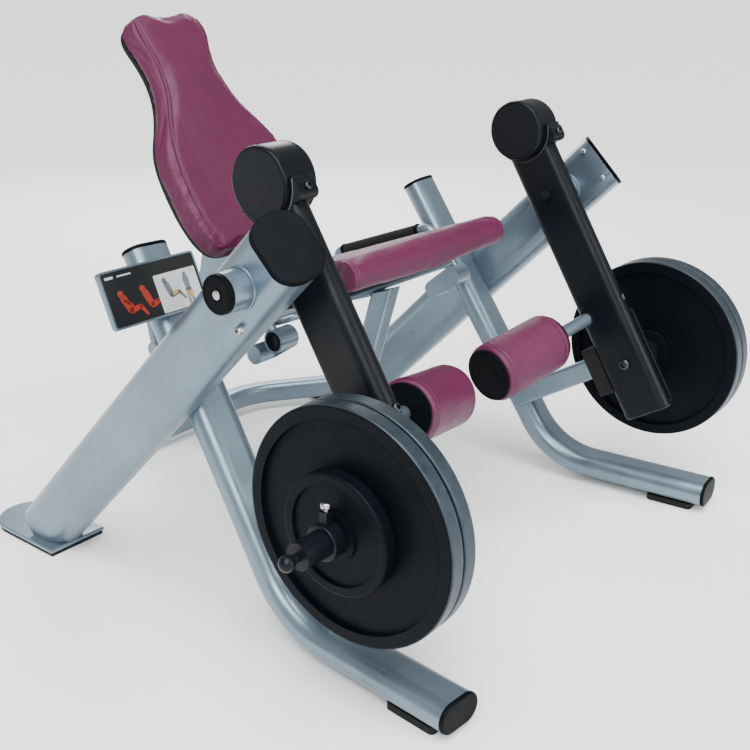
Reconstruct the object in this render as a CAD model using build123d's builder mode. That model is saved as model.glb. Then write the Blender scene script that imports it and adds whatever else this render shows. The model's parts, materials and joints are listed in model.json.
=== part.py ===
from build123d import *
from math import cos, radians, sin
import os

os.makedirs("parts", exist_ok=True)

# Plate-loaded leg extension machine.
# Millimetres, +Z up. The user faces -Y, and "right" is the user's right, at -X.
# The origin is on the floor, under the middle of the machine.

SIDES = (("right", -1), ("left", 1))
LATERAL = Vector(1, 0, 0)

# Lever arms and their pivot, seen from the side
pivot_y = -246.0
pivot_z = 760.0
arm_lean = radians(31.4)        # from vertical, the lower end forward
arm_offset = 6.0                # arm centreline in front of the pivot axis
weight_offset = 12.5            # centres of the horn and the counterweight in front of it
arm_x = 448.0
arm_width = 50.0
arm_depth = 124.0
arm_top = -128.0                # distances down the arm from the pivot
arm_bottom = 588.0
horn_down = 454.0
counterweight_down = -170.0
arm_wall = 4.0

# Tubes of the frame
beam_x = 570.0
beam_width = 90.0
beam_depth = 138.0
beam_nose = 102.0               # beam beyond the pivot, before its cap
beam_bevel = radians(26)        # the upper end is cut to face outwards by this much
beam_corner = 40.0
leg_width = 100.0
leg_thickness = 60.0
leg_bend_radius = 200.0
leg_top = Vector(475, 174, 734)
leg_foot = Vector(552, -683, 45)
leg_bend_y = -266.0
tube_wall = 4.0
cross_tube_size = 60.0
cross_tube_z = 48.0

# Floor plates
rubber_thickness = 10.0
plate_thickness = 8.0
floor_plate_top = rubber_thickness + plate_thickness
rear_plate_front = 397.0
rear_plate_x = 560.0
rear_plate_width = 150.0
rear_plate_straight = 190.0
centre_plate_size = 140.0
post_foot = Vector(0, 88, floor_plate_top)

# Weight plates
big_plate_radius = 225.0
big_plate_thickness = 34.5
big_plate_inner_x = 561.0
small_plate_radius = 114.0
small_plate_thickness = 30.0
horn_radius = 24.8
plate_bore_radius = 25.2

# Seat and backrest
seat_tilt = radians(20)
seat_width = 560.0
seat_front = -460.0             # along the seat's slope
seat_rear = 90.0
seat_top = 620.0                # square to the seat's slope
seat_pad_thickness = 58.0
board_thickness = 12.0
back_recline = radians(33)
back_top_y = 633.0
back_top_z = 1173.0
back_pad_front = 15.0
back_pad_rear = -35.0

# Gaps
running_gap = 0.05
moving_gap = 0.4
fitting_gap = 0.2


def arm_place(down, ahead, x=0.0):
    """A point given by its distances down the arm and in front of the pivot."""
    y = pivot_y - sin(arm_lean) * down - cos(arm_lean) * ahead
    z = pivot_z - cos(arm_lean) * down + sin(arm_lean) * ahead
    return Vector(x, y, z)


def seat_place(along, up, x=0.0):
    """A point given by its distances along and square to the seat's slope."""
    y = along * cos(seat_tilt) + up * sin(seat_tilt)
    z = -along * sin(seat_tilt) + up * cos(seat_tilt)
    return Vector(x, y, z)


def back_place(up, ahead, x=0.0):
    """A point given by its distances up the backrest and in front of its plane."""
    y = back_top_y + up * sin(back_recline) - ahead * cos(back_recline)
    z = back_top_z + up * cos(back_recline) + ahead * sin(back_recline)
    return Vector(x, y, z)


def side_plane(x1, x2, side):
    """The side-view plane halfway between x1 and x2 on one side of the machine."""
    return Plane.YZ.offset(side * (x1 + x2) / 2)


def disc(x1, x2, radius, side, centre, mode=Mode.ADD):
    """A lateral cylinder from x1 to x2, centred on a point of the side view."""
    with BuildSketch(side_plane(x1, x2, side)) as outline:
        with Locations((centre.Y, centre.Z)):
            Circle(radius)
    extrude(outline.sketch, amount=abs(x2 - x1) / 2, both=True, mode=mode)


down_arm = arm_place(1, 0) - arm_place(0, 0)
ahead_of_arm = arm_place(0, 1) - arm_place(0, 0)
along_seat = seat_place(1, 0) - seat_place(0, 0)
out_of_seat = seat_place(0, 1) - seat_place(0, 0)
out_of_back = back_place(0, 1) - back_place(0, 0)
down_beam = Vector(0, 1, -1).normalized()

pivot = arm_place(0, 0)
horn = arm_place(horn_down, weight_offset)
counterweight_centre = arm_place(counterweight_down, weight_offset)
half_length = big_plate_radius - horn.Y

# ---------------------------------------------------------------- side beams

housing_radius = 37.0
housing_inner_x = 485.0
housing_outer_x = 660.0
beam_length = 1150.0
beam_cap_thickness = 9.0
bevel_room = 50.0


def beam_nose_plane(side, outwards):
    """The plane of a side beam's upper end, outwards beyond the end of the tube."""
    nose = Vector(side * beam_x, pivot_y, pivot_z) - down_beam * (beam_nose + outwards)
    return Plane(nose, x_dir=LATERAL, z_dir=down_beam)


def bevel_plane(side, outwards):
    """The bevelled cut of a side beam's upper end, outwards beyond the end of the tube."""
    facing = Vector(side * sin(beam_bevel), 0, 0) - down_beam * cos(beam_bevel)
    middle = Vector(side * beam_x, pivot_y, pivot_z) - down_beam * beam_nose
    return Plane(middle + facing * outwards, z_dir=facing)


for name, side in SIDES:
    with BuildPart() as side_beam:
        with BuildSketch(beam_nose_plane(side, bevel_room)):
            RectangleRounded(beam_width, beam_depth, beam_corner)
            offset(amount=-tube_wall, mode=Mode.SUBTRACT)
        extrude(amount=beam_length + bevel_room)
        split(bisect_by=bevel_plane(side, 0), keep=Keep.BOTTOM)
        disc(housing_inner_x, housing_outer_x, housing_radius + fitting_gap, side, pivot, Mode.SUBTRACT)
        split(bisect_by=Plane.XY.offset(floor_plate_top), keep=Keep.TOP)
    side_beam.part.label = f"side_beam_{name}"
    export_step(side_beam.part, f"parts/side_beam_{name}.step")

with BuildPart() as beam_caps:
    for name, side in SIDES:
        end_plane = bevel_plane(side, beam_cap_thickness + fitting_gap)
        with BuildPart(mode=Mode.PRIVATE) as beam_cap:
            with BuildSketch(beam_nose_plane(side, bevel_room)):
                RectangleRounded(beam_width + 2, beam_depth + 2, beam_corner + 1)
            extrude(amount=2 * bevel_room)
            split(bisect_by=bevel_plane(side, fitting_gap), keep=Keep.TOP)
            split(bisect_by=end_plane, keep=Keep.BOTTOM)
            fillet(beam_cap.faces().sort_by(Axis(end_plane.origin, end_plane.z_dir))[-1].edges(), radius=3)
        add(beam_cap.part)
beam_caps.part.label = "beam_caps"
export_step(beam_caps.part, "parts/beam_caps.step")

# ---------------------------------------------------------------- front legs

leg_cap_thickness = 8.0


def leg_points(side):
    """The centreline of a front leg: its top, its bend and the end of its foot."""
    share = (leg_top.Y - leg_bend_y) / (leg_top.Y - leg_foot.Y)
    bend_x = leg_top.X + share * (leg_foot.X - leg_top.X)
    return (
        Vector(side * leg_top.X, leg_top.Y, leg_top.Z),
        Vector(side * bend_x, leg_bend_y, leg_foot.Z),
        Vector(side * leg_foot.X, leg_foot.Y, leg_foot.Z),
    )


def leg_end_plane(start, towards):
    """The plane square to a leg's tube at one end, its X axis level across the tube."""
    axis = (towards - start).normalized()
    level = axis.cross(Vector(0, 0, 1)).normalized()
    return Plane(start, x_dir=level, z_dir=axis)


leg_bodies = {}
for name, side in SIDES:
    top, bend, foot = leg_points(side)
    with BuildPart() as leg_body:
        with BuildLine():
            leg_line = FilletPolyline(top, bend, foot, radius=leg_bend_radius)
        with BuildSketch(leg_end_plane(top, bend)):
            SlotOverall(leg_width, leg_thickness)
        sweep(path=leg_line)
    leg_bodies[name] = leg_body.part

    with BuildPart() as front_leg:
        add(leg_body.part)
        with BuildLine():
            bore_line = FilletPolyline(top, bend, foot, radius=leg_bend_radius)
        with BuildSketch(leg_end_plane(top, bend)):
            SlotOverall(leg_width - 2 * tube_wall, leg_thickness - 2 * tube_wall)
        sweep(path=bore_line, mode=Mode.SUBTRACT)
        with BuildSketch(beam_nose_plane(side, 0)):
            RectangleRounded(beam_width + 2 * fitting_gap, beam_depth, beam_corner)
        extrude(amount=beam_length, mode=Mode.SUBTRACT)
    front_leg.part.label = f"front_leg_{name}"
    export_step(front_leg.part, f"parts/front_leg_{name}.step")

with BuildPart() as leg_top_caps:
    for name, side in SIDES:
        top, bend, foot = leg_points(side)
        cap_plane = leg_end_plane(top, bend).offset(-fitting_gap)
        with BuildSketch(cap_plane):
            SlotOverall(leg_width + 2, leg_thickness + 2)
        extrude(amount=-leg_cap_thickness)
        end_face = leg_top_caps.faces(Select.LAST).sort_by(Axis(top, cap_plane.z_dir))[0]
        fillet(end_face.edges(), radius=4)
leg_top_caps.part.label = "leg_top_caps"
export_step(leg_top_caps.part, "parts/leg_top_caps.step")

with BuildPart() as foot_caps:
    for name, side in SIDES:
        top, bend, foot = leg_points(side)
        cap_plane = leg_end_plane(foot, bend).offset(-fitting_gap)
        with BuildSketch(cap_plane):
            SlotOverall(leg_width + 2, leg_thickness + 2)
        extrude(amount=-leg_cap_thickness)
        end_face = foot_caps.faces(Select.LAST).sort_by(Axis(foot, cap_plane.z_dir))[0]
        fillet(end_face.edges(), radius=4)
foot_caps.part.label = "foot_caps"
export_step(foot_caps.part, "parts/foot_caps.step")

foot_pad_length = 115.0
foot_pad_width = 76.0
with BuildPart() as foot_pads:
    for name, side in SIDES:
        top, bend, foot = leg_points(side)
        forward = (foot - bend).normalized()
        middle = foot - forward * (foot_pad_length / 2 + 25)
        pad_plane = Plane((middle.X, middle.Y, 0), x_dir=forward, z_dir=(0, 0, 1))
        with BuildSketch(pad_plane):
            RectangleRounded(foot_pad_length, foot_pad_width, 10)
        extrude(amount=leg_foot.Z - leg_thickness / 2 - fitting_gap)
foot_pads.part.label = "foot_pads"
export_step(foot_pads.part, "parts/foot_pads.step")

# ---------------------------------------------------------------- rear floor plates and cross tube


def rear_plate_outline(side, inset):
    """A floor plate's outline: straight across its front, round at the rear."""
    width = rear_plate_width - 2 * inset
    length = rear_plate_straight - inset
    with BuildSketch(Plane.XY) as outline:
        with Locations((side * rear_plate_x, rear_plate_front + inset + length / 2)):
            Rectangle(width, length)
        with Locations((side * rear_plate_x, rear_plate_front + rear_plate_straight)):
            Circle(width / 2)
    return outline.sketch


with BuildPart() as floor_rubbers:
    for name, side in SIDES:
        extrude(rear_plate_outline(side, 3), amount=rubber_thickness)
    with BuildSketch(Plane.XY):
        with Locations((0, post_foot.Y)):
            RectangleRounded(centre_plate_size - 6, centre_plate_size - 6, 12)
    extrude(amount=rubber_thickness)
floor_rubbers.part.label = "floor_rubbers"
export_step(floor_rubbers.part, "parts/floor_rubbers.step")

with BuildPart() as floor_plates:
    for name, side in SIDES:
        outline = rear_plate_outline(side, 0).moved(Location((0, 0, rubber_thickness)))
        extrude(outline, amount=plate_thickness)
    with BuildSketch(Plane.XY.offset(rubber_thickness)):
        with Locations((0, post_foot.Y)):
            RectangleRounded(centre_plate_size, centre_plate_size, 15)
    extrude(amount=plate_thickness)
    top_face_edges = floor_plates.edges().group_by(Axis.Z)[-1]
    chamfer(top_face_edges, length=2)
floor_plates.part.label = "floor_plates"
export_step(floor_plates.part, "parts/floor_plates.step")

cross_tube_y = half_length - cross_tube_size / 2
cross_tube_half_span = beam_x - beam_width / 2 - fitting_gap
with BuildPart() as rear_cross_tube:
    with BuildLine():
        cross_line = FilletPolyline(
            (-cross_tube_half_span, 530, cross_tube_z),
            (-300, cross_tube_y, cross_tube_z),
            (300, cross_tube_y, cross_tube_z),
            (cross_tube_half_span, 530, cross_tube_z),
            radius=220,
        )
    start_plane = Plane(cross_line @ 0, x_dir=(0, 0, 1), z_dir=cross_line % 0)
    with BuildSketch(start_plane):
        RectangleRounded(cross_tube_size, cross_tube_size, 20)
    sweep(path=cross_line)
    with BuildSketch(start_plane):
        RectangleRounded(cross_tube_size - 8, cross_tube_size - 8, 16)
    sweep(path=cross_line, mode=Mode.SUBTRACT)
rear_cross_tube.part.label = "rear_cross_tube"
export_step(rear_cross_tube.part, "parts/rear_cross_tube.step")

# ---------------------------------------------------------------- upright, seat rail and centre post

rail_width = 50.0
rail_height = 32.0
rail_top = seat_top - seat_pad_thickness - board_thickness - fitting_gap
rail_front = -254.0
upright_foot = Vector(0, cross_tube_y, cross_tube_z + cross_tube_size / 2)
upright_top = Vector(0, 445, 600)
upright_depth = 55.0
post_top = Vector(0, -81, 573)
post_size = 50.0

upright_axis = (upright_top - upright_foot).normalized()
upright_length = (upright_top - upright_foot).length
with BuildPart() as rear_upright:
    with BuildSketch(Plane(upright_foot - upright_axis * 40, x_dir=LATERAL, z_dir=upright_axis)):
        RectangleRounded(rail_width, upright_depth, 12)
    extrude(amount=upright_length + 40)
    with BuildSketch(Plane(upright_foot - upright_axis * 40, x_dir=LATERAL, z_dir=upright_axis)):
        RectangleRounded(rail_width - 2 * tube_wall, upright_depth - 2 * tube_wall, 8)
    extrude(amount=upright_length + 40 - tube_wall, mode=Mode.SUBTRACT)
    split(bisect_by=Plane.XY.offset(upright_foot.Z + fitting_gap), keep=Keep.TOP)
rear_upright.part.label = "rear_upright"
export_step(rear_upright.part, "parts/rear_upright.step")

with BuildPart() as seat_rail:
    rail_start = seat_place(rail_front, rail_top - rail_height / 2)
    with BuildSketch(Plane(rail_start, x_dir=LATERAL, z_dir=along_seat)):
        RectangleRounded(rail_width, rail_height, 8)
    extrude(amount=660)
    with BuildSketch(Plane(rail_start + along_seat * tube_wall, x_dir=LATERAL, z_dir=along_seat)):
        RectangleRounded(rail_width - 2 * tube_wall, rail_height - 2 * tube_wall, 4)
    extrude(amount=660, mode=Mode.SUBTRACT)
    upright_ahead = LATERAL.cross(upright_axis)
    upright_front = Plane(
        upright_foot + upright_ahead * (upright_depth / 2 + fitting_gap),
        x_dir=LATERAL,
        z_dir=upright_ahead,
    )
    split(bisect_by=upright_front, keep=Keep.TOP)
seat_rail.part.label = "seat_rail"
export_step(seat_rail.part, "parts/seat_rail.step")

post_axis = (post_top - post_foot).normalized()
with BuildPart() as centre_post:
    with BuildSketch(Plane(post_foot - post_axis * 30, x_dir=LATERAL, z_dir=post_axis)):
        RectangleRounded(post_size, post_size, 12)
    extrude(amount=700)
    with BuildSketch(Plane(post_foot - post_axis * 30, x_dir=LATERAL, z_dir=post_axis)):
        RectangleRounded(post_size - 8, post_size - 8, 8)
    extrude(amount=550, mode=Mode.SUBTRACT)
    split(bisect_by=Plane.XY.offset(floor_plate_top + fitting_gap), keep=Keep.TOP)
    under_front_tube = Plane(seat_place(0, 524), x_dir=LATERAL, z_dir=out_of_seat)
    split(bisect_by=under_front_tube, keep=Keep.BOTTOM)
    with BuildSketch(Plane(rail_start - along_seat * fitting_gap, x_dir=LATERAL, z_dir=along_seat)):
        Rectangle(rail_width + 10, rail_height + 2 * fitting_gap)
    extrude(amount=200, mode=Mode.SUBTRACT)
centre_post.part.label = "centre_post"
export_step(centre_post.part, "parts/centre_post.step")

# ---------------------------------------------------------------- seat frame, handles and grips

frame_tube_radius = 8.5
frame_half_width = 310.0
frame_level = 533.0             # square to the seat's slope
frame_rear = 215.0
handle_x = 335.0
handle_radius = 13.0
handle_level = 630.0
handle_front = -190.0
handle_rear = 142.0
handle_outer_x = handle_x + handle_radius + 1
front_boss_radius = 25.0
front_boss_along = -246.0
front_boss_level = 497.0
lower_boss_radius = 21.0
lower_boss_along = -177.0
lower_boss_level = 477.0
front_boss_inner_x = 296.0
rear_boss_radius = 18.0
rear_boss_along = 156.0
grip_front = -158.0
grip_rear = 112.0
grip_radius = 16.0

frame_front = rail_front - fitting_gap - frame_tube_radius
rail_side = rail_width / 2 + fitting_gap
with BuildPart() as seat_frame:
    with BuildLine():
        frame_line = FilletPolyline(
            seat_place(frame_rear, frame_level, -rail_side),
            seat_place(frame_rear, frame_level, -frame_half_width),
            seat_place(frame_front, frame_level, -frame_half_width),
            seat_place(frame_front, frame_level, frame_half_width),
            seat_place(frame_rear, frame_level, frame_half_width),
            seat_place(frame_rear, frame_level, rail_side),
            radius=40,
        )
    with BuildSketch(Plane(frame_line @ 0, z_dir=frame_line % 0)):
        Circle(frame_tube_radius)
    sweep(path=frame_line)
seat_frame.part.label = "seat_frame"
export_step(seat_frame.part, "parts/seat_frame.step")

for name, side in SIDES:
    front_boss = seat_place(front_boss_along, front_boss_level)
    lower_boss = seat_place(lower_boss_along, lower_boss_level)
    rear_boss = seat_place(rear_boss_along, frame_level)
    rear_boss_inner_x = frame_half_width + frame_tube_radius + fitting_gap
    with BuildPart() as handle:
        with BuildLine():
            handle_line = FilletPolyline(
                seat_place(front_boss_along, front_boss_level, side * handle_x),
                seat_place(handle_front, handle_level, side * handle_x),
                seat_place(handle_rear, handle_level, side * handle_x),
                seat_place(rear_boss_along, frame_level, side * handle_x),
                radius=28,
            )
        with BuildSketch(Plane(handle_line @ 0, z_dir=handle_line % 0)):
            Circle(handle_radius)
        sweep(path=handle_line)
        disc(rear_boss_inner_x, handle_outer_x, rear_boss_radius, side, rear_boss)
        disc(front_boss_inner_x, handle_outer_x, front_boss_radius, side, front_boss)
        disc(front_boss_inner_x, handle_outer_x, lower_boss_radius, side, lower_boss)
        with BuildSketch(side_plane(front_boss_inner_x, front_boss_inner_x + 8, side)):
            for boss, radius in ((front_boss, front_boss_radius), (lower_boss, lower_boss_radius)):
                with Locations((boss.Y, boss.Z)):
                    Circle(radius)
            make_hull()
        extrude(amount=4, both=True)
    handle.part.label = f"handle_{name}"
    export_step(handle.part, f"parts/handle_{name}.step")

    with BuildPart() as grip:
        grip_start = seat_place(grip_front, handle_level, side * handle_x)
        with BuildSketch(Plane(grip_start, x_dir=LATERAL, z_dir=along_seat)):
            Circle(grip_radius)
            Circle(handle_radius + running_gap, mode=Mode.SUBTRACT)
        extrude(amount=grip_rear - grip_front)
    grip.part.label = f"grip_{name}"
    export_step(grip.part, f"parts/grip_{name}.step")

# ---------------------------------------------------------------- seat

roll_radius = 35.0
roll_along = -425.0
roll_centre = seat_place(roll_along, seat_top - roll_radius)
board_front = -387.0

with BuildPart() as seat_board:
    board_middle = seat_place((board_front + seat_rear - 8) / 2, rail_top + fitting_gap)
    with BuildSketch(Plane(board_middle, x_dir=LATERAL, z_dir=out_of_seat)):
        RectangleRounded(seat_width - 16, seat_rear - 8 - board_front, 30)
    extrude(amount=board_thickness)
seat_board.part.label = "seat_board"
export_step(seat_board.part, "parts/seat_board.step")

seat_bottom = seat_top - seat_pad_thickness
with BuildPart() as seat_pad:
    slab_middle = seat_place((roll_along + seat_rear) / 2, seat_bottom)
    with BuildSketch(Plane(slab_middle, x_dir=LATERAL, z_dir=out_of_seat)):
        Rectangle(seat_width, seat_rear - roll_along)
    extrude(amount=seat_pad_thickness)
    slab_corners = seat_pad.edges().filter_by(lambda edge: abs(edge.tangent_at(0).dot(out_of_seat)) > 0.99)
    fillet(slab_corners.sort_by(Axis((0, 0, 0), along_seat))[-2:], radius=35)
    with BuildSketch(Plane.YZ):
        with Locations((roll_centre.Y, roll_centre.Z)):
            Circle(roll_radius)
    extrude(amount=seat_width / 2, both=True)
seat_pad.part.label = "seat_pad"
export_step(seat_pad.part, "parts/seat_pad.step")

# ---------------------------------------------------------------- backrest

back_board_inset = 7.0
bracket_depth = 40.0
bracket_low = -600.0
bracket_high = -250.0

back_plane = Plane((0, back_top_y, back_top_z), x_dir=LATERAL, z_dir=out_of_back)
with BuildSketch() as back_outline:
    with BuildLine():
        # half widths against the distance below the top
        right_edge = Spline(
            (0, -8),
            (24, -5),
            (60, 0),
            (98, -9),
            (121, -38),
            (115, -100),
            (115, -205),
            (150, -285),
            (188, -352),
            (205, -460),
            (199, -550),
            (165, -622),
            (95, -635),
            (0, -635),
        )
        mirror(right_edge, about=Plane.YZ)
    make_face()

with BuildPart() as back_pad:
    pad_rear_face = back_plane.offset(back_pad_rear) * back_outline.sketch
    extrude(pad_rear_face, amount=back_pad_front - back_pad_rear, dir=out_of_back)
back_pad.part.label = "back_pad"
export_step(back_pad.part, "parts/back_pad.step")

board_front_face = back_pad_rear - fitting_gap
with BuildPart() as back_board:
    board_outline = scale(back_outline.sketch, by=(0.965, 0.978, 1))
    board_outline = board_outline.moved(Location((0, -back_board_inset, 0)))
    board_rear_face = back_plane.offset(board_front_face - board_thickness) * board_outline
    extrude(board_rear_face, amount=board_thickness, dir=out_of_back)
back_board.part.label = "back_board"
export_step(back_board.part, "parts/back_board.step")

bracket_ahead = board_front_face - board_thickness - fitting_gap - bracket_depth / 2
bracket_start = back_place(bracket_low, bracket_ahead)
bracket_axis = (back_place(1, 0) - back_place(0, 0)).normalized()
with BuildPart() as back_bracket:
    with BuildSketch(Plane(bracket_start, x_dir=LATERAL, z_dir=bracket_axis)):
        RectangleRounded(rail_width, bracket_depth, 8)
    extrude(amount=bracket_high - bracket_low)
    with BuildSketch(Plane(bracket_start + bracket_axis * tube_wall, x_dir=LATERAL, z_dir=bracket_axis)):
        RectangleRounded(rail_width - 2 * tube_wall, bracket_depth - 2 * tube_wall, 4)
    extrude(amount=bracket_high - bracket_low - 2 * tube_wall, mode=Mode.SUBTRACT)
back_bracket.part.label = "back_bracket"
export_step(back_bracket.part, "parts/back_bracket.step")

with BuildPart() as bracket_plates:
    for name, side in SIDES:
        with BuildSketch(side_plane(25.2, 31.2, side)):
            bracket_points = (back_place(-575, bracket_ahead), back_place(-470, bracket_ahead))
            upright_points = (upright_top - upright_axis * 27, upright_top - upright_axis * 110)
            for point in bracket_points:
                with Locations((point.Y, point.Z)):
                    Circle(19)
            for point in upright_points:
                with Locations((point.Y, point.Z)):
                    Circle(26)
            make_hull()
        extrude(amount=3, both=True)
bracket_plates.part.label = "bracket_plates"
export_step(bracket_plates.part, "parts/bracket_plates.step")

# ---------------------------------------------------------------- placard

placard_x = -538.0
placard_width = 240.0
placard_height = 116.0
placard_thickness = 12.0
placard_middle = Vector(placard_x, 72, 684)
placard_normal = Vector(0, -0.918, 0.395).normalized()

placard_start = placard_middle - placard_normal * placard_thickness
placard_back = Plane(placard_start, x_dir=LATERAL, z_dir=placard_normal)
with BuildPart() as placard_tray:
    with BuildSketch(placard_back):
        RectangleRounded(placard_width, placard_height, 8)
    extrude(amount=placard_thickness)
    with BuildSketch(placard_back.offset(placard_thickness)):
        RectangleRounded(placard_width - 8, placard_height - 8, 5)
    extrude(amount=-3, mode=Mode.SUBTRACT)
placard_tray.part.label = "placard_tray"
export_step(placard_tray.part, "parts/placard_tray.step")

with BuildPart() as placard_face:
    with BuildSketch(placard_back.offset(placard_thickness - 3 + fitting_gap)):
        RectangleRounded(placard_width - 9, placard_height - 9, 4.5)
    extrude(amount=2)
placard_face.part.label = "placard_face"
export_step(placard_face.part, "parts/placard_face.step")

with BuildPart() as placard_bracket:
    bracket_plane = placard_back.offset(-fitting_gap)
    with BuildSketch(bracket_plane):
        with Locations((leg_top.X * -1 - placard_x, -8)):
            RectangleRounded(60, 80, 5)
    extrude(amount=-50)
    add(leg_bodies["right"], mode=Mode.SUBTRACT)
placard_bracket.part.label = "placard_bracket"
export_step(placard_bracket.part, "parts/placard_bracket.step")

# ---------------------------------------------------------------- stops

strut_width = 50.0
strut_x = 475.0
strut_middle = 438.0            # down the arm
strut_depth = 52.0
bumper_middle = 449.5
bumper_length = 125.0
bumper_rear = -97.0             # in front of the pivot, so behind it here
bumper_front = arm_offset - arm_depth / 2 - moving_gap
bumper_x = 462.0

for name, side in SIDES:
    strut_front = Plane(
        arm_place(strut_middle, bumper_rear - fitting_gap, side * strut_x),
        x_dir=LATERAL,
        z_dir=-ahead_of_arm,
    )
    with BuildPart() as stop_bracket:
        with BuildSketch(strut_front):
            RectangleRounded(strut_width, strut_depth, 8)
        extrude(amount=250)
        with BuildSketch(strut_front.offset(tube_wall)):
            RectangleRounded(strut_width - 2 * tube_wall, strut_depth - 2 * tube_wall, 4)
        extrude(amount=250, mode=Mode.SUBTRACT)
        add(leg_bodies[name], mode=Mode.SUBTRACT)
    stop_bracket.part.label = f"stop_bracket_{name}"
    export_step(stop_bracket.part, f"parts/stop_bracket_{name}.step")

with BuildPart() as stop_bumpers:
    for name, side in SIDES:
        bumper_plane = Plane(
            arm_place(bumper_middle, bumper_rear, side * bumper_x),
            x_dir=LATERAL,
            z_dir=ahead_of_arm,
        )
        with BuildSketch(bumper_plane):
            RectangleRounded(strut_width, bumper_length, 8)
        extrude(amount=bumper_front - bumper_rear)
stop_bumpers.part.label = "stop_bumpers"
export_step(stop_bumpers.part, "parts/stop_bumpers.step")

# ---------------------------------------------------------------- pivots

shaft_radius = 15.0
bearing_radius = 26.0
bearing_width = 15.0
bearing_inner_ends = (487.0, 640.0)
pivot_cap_radius = 36.0

with BuildPart() as pivot_housings:
    for name, side in SIDES:
        disc(housing_inner_x, housing_outer_x, housing_radius, side, pivot)
        disc(housing_inner_x - 1, housing_outer_x + 1, bearing_radius, side, pivot, Mode.SUBTRACT)
pivot_housings.part.label = "pivot_housings"
export_step(pivot_housings.part, "parts/pivot_housings.step")

with BuildPart() as pivot_bearings:
    for name, side in SIDES:
        for x in bearing_inner_ends:
            disc(x, x + bearing_width, bearing_radius - running_gap, side, pivot)
            disc(x - 1, x + bearing_width + 1, shaft_radius + running_gap, side, pivot, Mode.SUBTRACT)
pivot_bearings.part.label = "pivot_bearings"
export_step(pivot_bearings.part, "parts/pivot_bearings.step")

with BuildPart() as pivot_caps:
    for name, side in SIDES:
        disc(housing_outer_x + fitting_gap, 670, pivot_cap_radius, side, pivot)
        outer_face = pivot_caps.faces(Select.LAST).sort_by(Axis((0, 0, 0), (side, 0, 0)))[-1]
        fillet(outer_face.edges(), radius=3)
pivot_caps.part.label = "pivot_caps"
export_step(pivot_caps.part, "parts/pivot_caps.step")

# ---------------------------------------------------------------- bolts of the frame

bolt_radius = 7.0
bolt_head = 5.0
with BuildPart() as frame_bolts:
    beam_inner_x = beam_x - beam_width / 2
    beam_outer_x = beam_x + beam_width / 2
    for name, side in SIDES:
        for ahead, across_beam in ((101, 40), (100, -40)):
            spot = pivot - down_beam * ahead + Vector(0, 1, 1).normalized() * across_beam
            disc(beam_inner_x - fitting_gap - bolt_head, beam_inner_x - fitting_gap, bolt_radius, side, spot)
        spot = Vector(0, -243, 683)
        disc(beam_outer_x + fitting_gap, beam_outer_x + 9, 9, side, spot)
        fillet(frame_bolts.edges(Select.LAST).sort_by(Axis((0, 0, 0), (side, 0, 0)))[-1], radius=4)
frame_bolts.part.label = "frame_bolts"
export_step(frame_bolts.part, "parts/frame_bolts.step")

# ---------------------------------------------------------------- lever arms

saddle_outer_radius = 79.0
saddle_bore = 70.4
saddle_up = -150.0              # the saddle's ends, down the arm
ear_down = -126.0
ear_ahead = 76.0
ear_length = 40.0
ear_depth = 30.0
counterweight_radius = 70.0
counterweight_inner_x = 397.0
counterweight_outer_x = 483.0
end_cap_thickness = 8.0
shaft_head_x = 396.0
shaft_end_x = 657.0
arm_inner_x = arm_x - arm_width / 2
arm_outer_x = arm_x + arm_width / 2

roller_inner_x = 82.0
roller_middle_y = -324.0
roller_middle_z = 413.0
roller_radius = 71.0
roller_length = 208.0
roller_bore = 22.0
roller_shaft_radius = 16.0
roller_disc_radius = 62.0
roller_disc_thickness = 6.0
roller_end_room = 1.0           # between the shaft's end and the closed inner disc

horn_end_x = 750.0
horn_ball_x = 775.0
horn_ball_radius = 15.0
plate_relief = 10.0
plate_hub_radius = 60.0
plate_rim_radius = 200.0

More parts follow.
